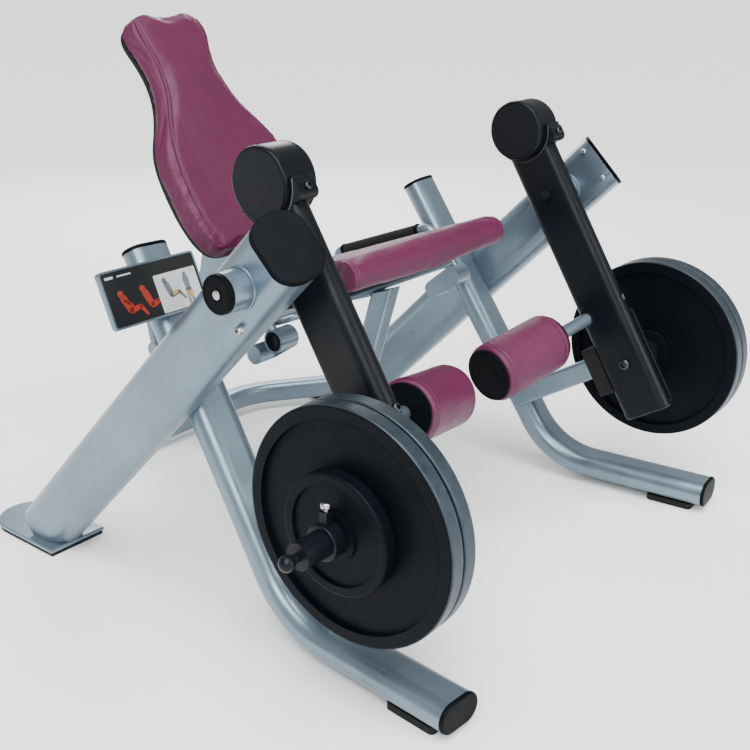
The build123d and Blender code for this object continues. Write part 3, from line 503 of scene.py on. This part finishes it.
def finish_pad(name, mesh, node, body, held, cap, relief):
    """Inflates, subdivides and seams a skin, and lets it stand for its CAD node."""
    obj = bpy.data.objects.new(name, mesh)
    bpy.context.scene.collection.objects.link(obj)
    inflate(obj, held, cap)
    relax(mesh, 2, held)
    mod = obj.modifiers.new("finer", "SUBSURF")
    mod.levels = mod.render_levels = 1
    graph = bpy.context.evaluated_depsgraph_get()
    finer = bpy.data.meshes.new_from_object(obj.evaluated_get(graph))
    finer.name = name
    obj.modifiers.clear()
    obj.data = finer
    finer.materials.clear()
    finer.materials.append(LEATHER)
    reshape(finer, relief)
    finer.shade_smooth()
    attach(obj, body)
    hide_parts(node)
    return obj


def on_skin(obj, spot, towards, lift=0.0):
    """Where a line from outside meets a pad's skin, lifted off it by some millimetres."""
    towards = Vector(towards).normalized()
    hit, place, _, _ = obj.ray_cast(Vector(spot) - towards * 0.12, towards, distance=0.3)
    return (place if hit else Vector(spot)) - towards * lift * MM


def stitches(lines, thread=0.45, length=4.2, gap=2.6):
    """Short raised threads along lines of points."""
    parts = []
    for line in lines:
        walked, start = 0.0, None
        for a, b in zip(line, line[1:]):
            span = (b - a).length
            if span < 1e-7:
                continue
            position = 0.0
            while position < span:
                phase = (walked + position) % ((length + gap) * MM)
                if phase < length * MM:
                    room = length * MM - phase
                    step = min(room, span - position)
                    first = a + (b - a) * (position / span)
                    second = a + (b - a) * ((position + step) / span)
                    if step > 1.5 * MM:
                        parts.append(tube_data((first, second), thread, sides=6))
                    position += step + 1e-6
                else:
                    position += (length + gap) * MM - phase + 1e-6
            walked += span
    return merge(parts)


def groove(distance, depth, width):
    return depth * MM * math.exp(-(distance / (width * MM)) ** 2)


def make_seat():
    mesh = remeshed("seat_pad", "seat_cushion", 0.005)
    reshape(mesh, lambda p, n: p - n * 2.5 * MM)
    under = lambda p: p.dot(OUT_OF_SEAT) < 0.566 and p.dot(ALONG_SEAT) > -0.385
    relax(mesh, 10, under)

    def relief(p, n):
        along, up = p.dot(ALONG_SEAT), p.dot(OUT_OF_SEAT)
        if up > 0.590:
            crease = groove(along + 0.386, 13, 9)
            p = p - OUT_OF_SEAT * crease
            p = p - n * groove(along - 0.070, 1.6, 3)
        if along < -0.386:
            p = p - n * groove(abs(p.x) - 0.266, 1.8, 3)
        else:
            p = p - n * groove(abs(p.x) - 0.262, 1.6, 3) * (1 if up > 0.6 else 0)
        ripple = noise.noise(p * 16) * 0.0012 + noise.noise(p * 45) * 0.0005
        return p + n * ripple

    seat = finish_pad("seat_cushion", mesh, "seat_pad", "frame", under, 7, relief)
    lines = []
    for side in (-1, 1):
        for x in (266, 258):
            around = []
            for k in range(0, 13):
                angle = math.radians(90 + 15 * k)
                spot = seat_at(-425 + 80 * math.cos(angle), 585 + 80 * math.sin(angle), side * x)
                centre = seat_at(-425, 585, side * x)
                around.append(on_skin(seat, spot, centre - spot, 0.25))
            lines.append(smooth_line(around, 8))
    for x0, x1, along in ((-250, 250, -372), (-250, 250, 70)):
        spots = [on_skin(seat, seat_at(along, 640, x0 + (x1 - x0) * k / 60), -OUT_OF_SEAT, 0.25) for k in range(61)]
        lines.append(spots)
    for side in (-1, 1):
        spots = [on_skin(seat, seat_at(-372 + (70 + 372) * k / 60, 640, side * 262), -OUT_OF_SEAT, 0.25) for k in range(61)]
        lines.append(spots)
    verts, faces = stitches(lines)
    piece("seat_stitching", verts, faces, THREAD, "frame", "upholstery")


SEAM_LINE = ((98, -22), (100, -60), (95, -100), (89, -140), (89, -165), (96, -205), (108, -240), (124, -275),
             (141, -310), (156, -345), (166, -385), (172, -430), (173, -475), (171, -530), (162, -585), (150, -620))


def make_back():
    mesh = remeshed("back_pad", "back_cushion", 0.005)
    reshape(mesh, lambda p, n: p - n * 2.5 * MM)

    def rear(p):
        return (p - BACK_TOP).dot(OUT_OF_BACK) < -0.030

    relax(mesh, 12, rear)
    seam = smooth_line([Vector((x * MM, up * MM, 0)) for x, up in SEAM_LINE], 8)

    def from_seam(p):
        local = Vector((abs(p.x), (p - BACK_TOP).dot(UP_BACK), 0))
        best = 1.0
        for a, b in zip(seam, seam[1:]):
            span = b - a
            share = max(0.0, min(1.0, (local - a).dot(span) / span.length_squared))
            best = min(best, (local - (a + span * share)).length)
        return best

    def relief(p, n):
        ahead = (p - BACK_TOP).dot(OUT_OF_BACK)
        up = (p - BACK_TOP).dot(UP_BACK)
        if ahead > 0.0:
            gap = from_seam(p)
            p = p - n * groove(gap, 4.0, 4)
            crown = max(0.0, 1 - (p.x / 0.11) ** 2) * max(0.0, 1 - ((up + 0.32) / 0.34) ** 2)
            p = p + OUT_OF_BACK * crown * 0.004
        near_top = max(0.0, 1 + up / 0.07)
        p = p + UP_BACK * 0.011 * near_top ** 2 * math.exp(-(p.x / 0.042) ** 2)
        ripple = noise.noise(p * 15) * 0.0012 + noise.noise(p * 45) * 0.0004
        return p + n * ripple

    back = finish_pad("back_cushion", mesh, "back_pad", "frame", rear, 8, relief)
    lines = []
    for side in (-1, 1):
        for shift in (-4.5, 4.5):
            spots = []
            for a in seam[::2]:
                spots.append(on_skin(back, back_at(a.y / MM, 30, side * (a.x / MM + shift)), -OUT_OF_BACK, 0.25))
            lines.append(spots)
    verts, faces = stitches(lines)
    piece("back_stitching", verts, faces, THREAD, "frame", "upholstery")


def make_roller(name, side):
    start = Vector((side * 0.082, -0.324, 0.413))
    axis = Vector((side, -0.17, 0.17)).normalized()

    def place(p):
        along = (p - start).dot(axis)
        out = p - start - axis * along
        return along, out

    def core(p):
        along, out = place(p)
        return out.length < 0.030 or (out.length < 0.065 and not 0.006 < along < 0.202)

    mesh = remeshed("roller_pad_" + name, "roller_cushion_" + name, 0.0045)
    reshape(mesh, lambda p, n: p if core(p) else p - n * 1.6 * MM)
    relax(mesh, 6, core)

    def relief(p, n):
        along, out = place(p)
        if out.length < 0.035:
            return p
        for edge in (0.015, 0.193):
            p = p - out.normalized() * groove(along - edge, 1.8, 2.6)
        ripple = noise.noise(p * 22) * 0.0010 + noise.noise(p * 60) * 0.0004
        return p + n * ripple

    roller = finish_pad("roller_cushion_" + name, mesh, "roller_pad_" + name, "roller_" + name, core, 4, relief)
    lines = []
    first, second = square_to(axis)
    for along in (10, 20, 188, 198):
        spots = []
        for k in range(73):
            angle = 2 * math.pi * k / 72
            out = first * math.cos(angle) + second * math.sin(angle)
            spots.append(on_skin(roller, start + axis * along * MM + out * 0.07, -out, 0.2))
        lines.append(spots)
    verts, faces = stitches(lines, thread=0.4, length=3.4, gap=2.2)
    piece("roller_stitching_" + name, verts, faces, THREAD, "roller_" + name, "upholstery")


make_seat()
make_back()
for side_name, side_sign in SIDES:
    make_roller(side_name, side_sign)


# ------------------------------------------------------------------ hardware, welds and print

def bolt_data(place, axis, radius, height):
    """A button head with a hexagon socket."""
    socket = radius * 0.45
    return lathe_data(place, axis, (
        (0, radius), (height * 0.3, radius), (height * 0.62, radius * 0.93), (height * 0.88, radius * 0.75),
        (height, radius * 0.58), (height, socket, 6), (height * 0.35, socket * 0.96, 6)), 48)


def weld_data(points, radius=2.6):
    return tube_data(points, radius, closed=True, sides=8, ripple=0.16)


def frame_square(centre, right, up, width, height, corner):
    """Points round a rounded rectangle, for a weld round a tube's end."""
    return [Vector(centre) + Vector(right) * x * MM + Vector(up) * y * MM
            for x, y in smooth_outline(rounded(width, height, corner), 4)]


def smooth_outline(outline, spacing):
    """The outline with its long sides divided into steps of about the spacing."""
    spots = []
    for (x0, y0), (x1, y1) in zip(outline, outline[1:] + outline[:1]):
        count = max(1, round(math.hypot(x1 - x0, y1 - y0) / spacing))
        spots += [(x0 + (x1 - x0) * k / count, y0 + (y1 - y0) * k / count) for k in range(count)]
    return spots


ACROSS_BEAM = Vector((0, 1, 1)).normalized()


def make_frame_hardware():
    bolts = []
    for _, side in SIDES:
        outwards = EAST * side
        for ahead, across in ((101, 40), (100, -40)):
            spot = PIVOT - DOWN_BEAM * ahead * MM + ACROSS_BEAM * across * MM + outwards * 524.8 * MM
            bolts.append(bolt_data(spot, -outwards, 7, 5))
        bolts.append(bolt_data((side * 0.6152, -0.243, 0.683), outwards, 9, 8.8))
    heads = piece("frame_bolt_heads", *merge(bolts), STEEL, "frame", "bolt_steel")
    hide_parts("frame_bolts")

    beads, caps, rings = [], [], []
    for _, side in SIDES:
        outwards = EAST * side
        for x in (524.4, 615.6):
            beads.append(weld_data(ring_points(PIVOT + outwards * x * MM, EAST, 38.2, 120)))
        cap_face = PIVOT + outwards * 670 * MM
        rings.append(bolt_data(cap_face, outwards, 8.5, 2.2))
        caps.append(tube_data(ring_points(cap_face, EAST, 31), 0.9, closed=True, sides=8))
        caps.append(tube_data(ring_points(cap_face, EAST, 12), 0.7, closed=True, sides=8))
        boss = seat_at(-246, 497, side * 348.1)
        caps.append(lathe_data(boss, outwards, ((0, 21.5), (0.8, 21.5), (1.4, 20.4), (1.4, 12), (1.0, 11.4))))
        for start, turned in ((-158, 1), (112, -1)):
            end = seat_at(start, 630, side * 335)
            caps.append(lathe_data(end, ALONG_SEAT * turned, (
                (-2.4, 13.3), (-2.2, 15.0), (-0.6, 16.8), (2, 17.4), (7, 17.3), (9, 16.2))))
    beads.append(weld_data(frame_square((0, 0.088, 0.019), EAST, Vector((0, 1, 0)), 51, 53, 12)))
    piece("weld_beads", *merge(beads), SILVER, "frame", "frame_paint")
    piece("cap_rings", *merge(caps), BLACK_PLASTIC, "frame", "black_plastic")
    piece("pivot_screws", *merge(rings), STEEL, "frame", "bolt_steel")


def make_arm_hardware(name, side):
    body, outwards = "arm_" + name, EAST * side
    bolts = [bolt_data(HORN + outwards * 422.8 * MM, -outwards, 14, 9),
             bolt_data(arm_at(302, 68.2, side * 448), AHEAD_OF_ARM, 9, 7),
             bolt_data(arm_at(-126, 91.2, side * 448), AHEAD_OF_ARM, 8, 7)]
    heads = piece("arm_bolt_heads_" + name, *merge(bolts), DARK_STEEL, body, "bolt_steel")
    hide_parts("arm_bolts_" + name)

    weight = arm_at(-170, 12.5)
    rings = []
    for x, radius in ((397.3, 63.4), (482.7, 63.4), (405.1, 70.0), (474.9, 70.0)):
        rings.append(tube_data(ring_points(weight + outwards * x * MM, EAST, radius, 120), 0.7, closed=True, sides=8))
    start = Vector((side * 0.082, -0.324, 0.413))
    axis = Vector((side, -0.17, 0.17)).normalized()
    foot = start + axis * ((0.4224 - 0.082) / abs(axis.x))
    rings.append(weld_data(ring_points(foot, EAST, 17.6, 72), 2.8))
    for x in (473.4, 483.2):
        outline = [arm_at(457.5 + u, 6 + v, side * x) for u, v in smooth_outline(rounded(253, 110, 14), 5)]
        rings.append(weld_data(outline, 2.2) if x < 480 else tube_data(outline, 0.6, closed=True, sides=6))
    piece("arm_rings_" + name, *merge(rings), BLACK_PAINT, body, "arm_paint")

    # light grey lines along the saddle's edges, for worn paint and a painted highlight
    arcs = []
    for x in (422.7, 473.3):
        arc = []
        for k in range(41):
            angle = math.radians(-72 + 3.6 * k)
            arc.append(arm_at(-170 + 77.6 * math.cos(angle), 12.5 + 77.6 * math.sin(angle), side * x))
        arcs.append(tube_data(arc, 1.3, sides=8))
    piece("saddle_edges_" + name, *merge(arcs), WORN_EDGE_AND_HIGHLIGHT, body, "arm_paint")

    grooves = []
    for along, radii in ((-6.3, (52, 31)), (214.3, (52, 31))):
        for radius in radii:
            grooves.append(tube_data(ring_points(start + axis * along * MM, axis, radius), 0.9, closed=True, sides=8))
    piece("roller_rings_" + name, *merge(grooves), BLACK_PLASTIC, "roller_" + name, "black_plastic")

    lines = []
    for x, radius in ((630.8, 61.5), (630.8, 199.5), (560.8, 61.5), (560.8, 199.5)):
        spot = Vector((side * x * MM, HORN.y, HORN.z))
        lines.append(tube_data(ring_points(spot, EAST, radius, 160), 0.8, closed=True, sides=8))
    lines.append(tube_data(ring_points(Vector((side * 0.6611, HORN.y, HORN.z)), EAST, 95.5, 120), 0.7, closed=True, sides=8))
    piece("plate_rings_" + name, *merge(lines), IRON, "plates_" + name, "plate_iron")
    top = Vector((side * 0.678, HORN.y, HORN.z + 0.055))
    knob = lathe_data(top, Vector((0, 0, 1)), ((0, 4.5), (5, 4.5), (6, 8), (8, 9.5), (14, 9.5), (16, 8), (17, 5)))
    piece("collar_knob_" + name, *knob, STEEL, "plates_" + name, "bright_steel")


def capsule(x0, y0, x1, y1, radius, end_radius=None):
    """The outline of a stroke with round ends, which may differ."""
    end_radius = end_radius or radius
    angle = math.atan2(y1 - y0, x1 - x0)
    spots = []
    for cx, cy, r, start in ((x0, y0, radius, angle + math.pi / 2), (x1, y1, end_radius, angle - math.pi / 2)):
        for k in range(9):
            turn = start + math.pi * k / 8
            spots.append((cx + r * math.cos(turn), cy + r * math.sin(turn)))
    return spots


def make_placard():
    """Generic instruction pictures without any lettering."""
    out = Vector((0, -0.918, 0.395)).normalized()
    up = out.cross(EAST)
    up = up if up.z > 0 else -up
    centre = Vector((-0.538, 0.072, 0.684))

    def print_layer(name, outlines, mat, low, high):
        slabs = [slab_data(centre, EAST, up, out, outline, low, high, 0.05) for outline in outlines]
        piece(name, *merge(slabs), mat, "frame", "placard_print", smooth=False)

    print_layer("placard_panels", [rounded(108, 78, 3, x=57, y=-13), rounded(20, 5, 1, x=-98, y=43),
                                   rounded(34, 3, 1, x=-62, y=43)], PAPER, -0.8, -0.55)
    figure = [capsule(-84, 8, -84, 8.1, 7), capsule(-80, -2, -72, -26, 8, 7), capsule(-70, -28, -48, -24, 6, 5),
              capsule(-46, -24, -36, -42, 4.5, 3), capsule(-79, -6, -64, -18, 3.2, 2.6),
              capsule(-30, 8, -30, 8.1, 7), capsule(-26, -2, -19, -26, 8, 7), capsule(-17, -28, 2 - 4, -24, 6, 4.5),
              capsule(-4, -22, -3, -21, 3, 3)]
    print_layer("placard_figure_red", figure, RED_INK, -0.8, -0.5)
    grey = [capsule(26, 12, 26, 12.1, 6), capsule(29, 3, 34, -18, 7, 6), capsule(36, -20, 54, -17, 5.5, 4.5),
            capsule(56, -18, 66, -32, 4, 3), capsule(80, 14, 80, 14.1, 5), capsule(80, 4, 80, -14, 8, 6),
            capsule(76, -18, 75, -44, 4.5, 3), capsule(84, -18, 85, -44, 4.5, 3)]
    print_layer("placard_figure_grey", grey, GREY_INK, -0.55, -0.3)
    yellow = [capsule(40, -18.5, 51, -16.5, 2.6, 2), capsule(76, -22, 75.4, -34, 2.4, 1.6),
              capsule(84, -22, 84.6, -34, 2.4, 1.6)]
    print_layer("placard_figure_yellow", yellow, YELLOW_INK, -0.3, -0.15)


make_frame_hardware()
make_placard()
for side_name, side_sign in SIDES:
    make_arm_hardware(side_name, side_sign)


# ------------------------------------------------------------------ camera, light and floor

def make_stage():
    floor_mesh = bpy.data.meshes.new("floor")
    reach = 90.0
    corners = [(-reach, -reach, 0), (reach, -reach, 0), (reach, reach, 0), (-reach, reach, 0)]
    floor_mesh.from_pydata(corners, [], [(0, 1, 2, 3)])
    made, tree, shader, coords = material("studio floor", (0.90, 0.90, 0.90), 0.6, specular=0.2)
    tree.links.new(mix_color(tree, noise_node(tree, coords, 3, 2), (0.90, 0.90, 0.90), (0.88, 0.88, 0.885)),
                   shader.inputs["Base Color"])
    floor_mesh.materials.append(made)
    floor = bpy.data.objects.new("floor", floor_mesh)
    floor.location.z = -0.0005
    bpy.context.scene.collection.objects.link(floor)

    world = bpy.data.worlds.new("studio")
    world.use_nodes = True
    world.node_tree.nodes["Background"].inputs["Color"].default_value = (1.0, 1.0, 1.0, 1)
    world.node_tree.nodes["Background"].inputs["Strength"].default_value = 0.55
    bpy.context.scene.world = world

    sun = bpy.data.lights.new("overhead", "SUN")
    sun.energy, sun.angle = 5.4, math.radians(50)
    overhead = bpy.data.objects.new("overhead", sun)
    overhead.rotation_euler = (math.radians(14), math.radians(-16), 0)
    bpy.context.scene.collection.objects.link(overhead)
    for name, place, aim, width, height, power in (
        ("key", (-3.2, -2.2, 2.6), (0, 0, 0.5), 1.8, 1.6, 110),
        ("front", (0.6, -4.4, 2.2), (0, 0, 0.5), 2.2, 1.6, 120),
        ("rear", (2.8, 3.4, 2.6), (0, 0, 0.6), 2.4, 1.6, 120),
    ):
        lamp = bpy.data.lights.new(name, "AREA")
        lamp.shape = "RECTANGLE"
        lamp.size, lamp.size_y, lamp.energy = width, height, power
        obj = bpy.data.objects.new(name, lamp)
        obj.location = place
        obj.rotation_euler = (Vector(aim) - Vector(place)).to_track_quat("-Z", "Y").to_euler()
        bpy.context.scene.collection.objects.link(obj)


def make_camera():
    azimuth, elevation = math.radians(-51.30), math.radians(20.71)
    lens = bpy.data.cameras.new("camera")
    lens.sensor_width = 36
    lens.lens = 51.52
    lens.dof.use_dof = False
    camera = bpy.data.objects.new("camera", lens)
    camera.location = (-1.8678, -1.5509, 1.2775)
    look = Vector((-math.sin(azimuth) * math.cos(elevation), math.cos(azimuth) * math.cos(elevation),
                   -math.sin(elevation)))
    camera.rotation_euler = look.to_track_quat("-Z", "Y").to_euler()
    bpy.context.scene.collection.objects.link(camera)
    bpy.context.scene.camera = camera


make_stage()
make_camera()
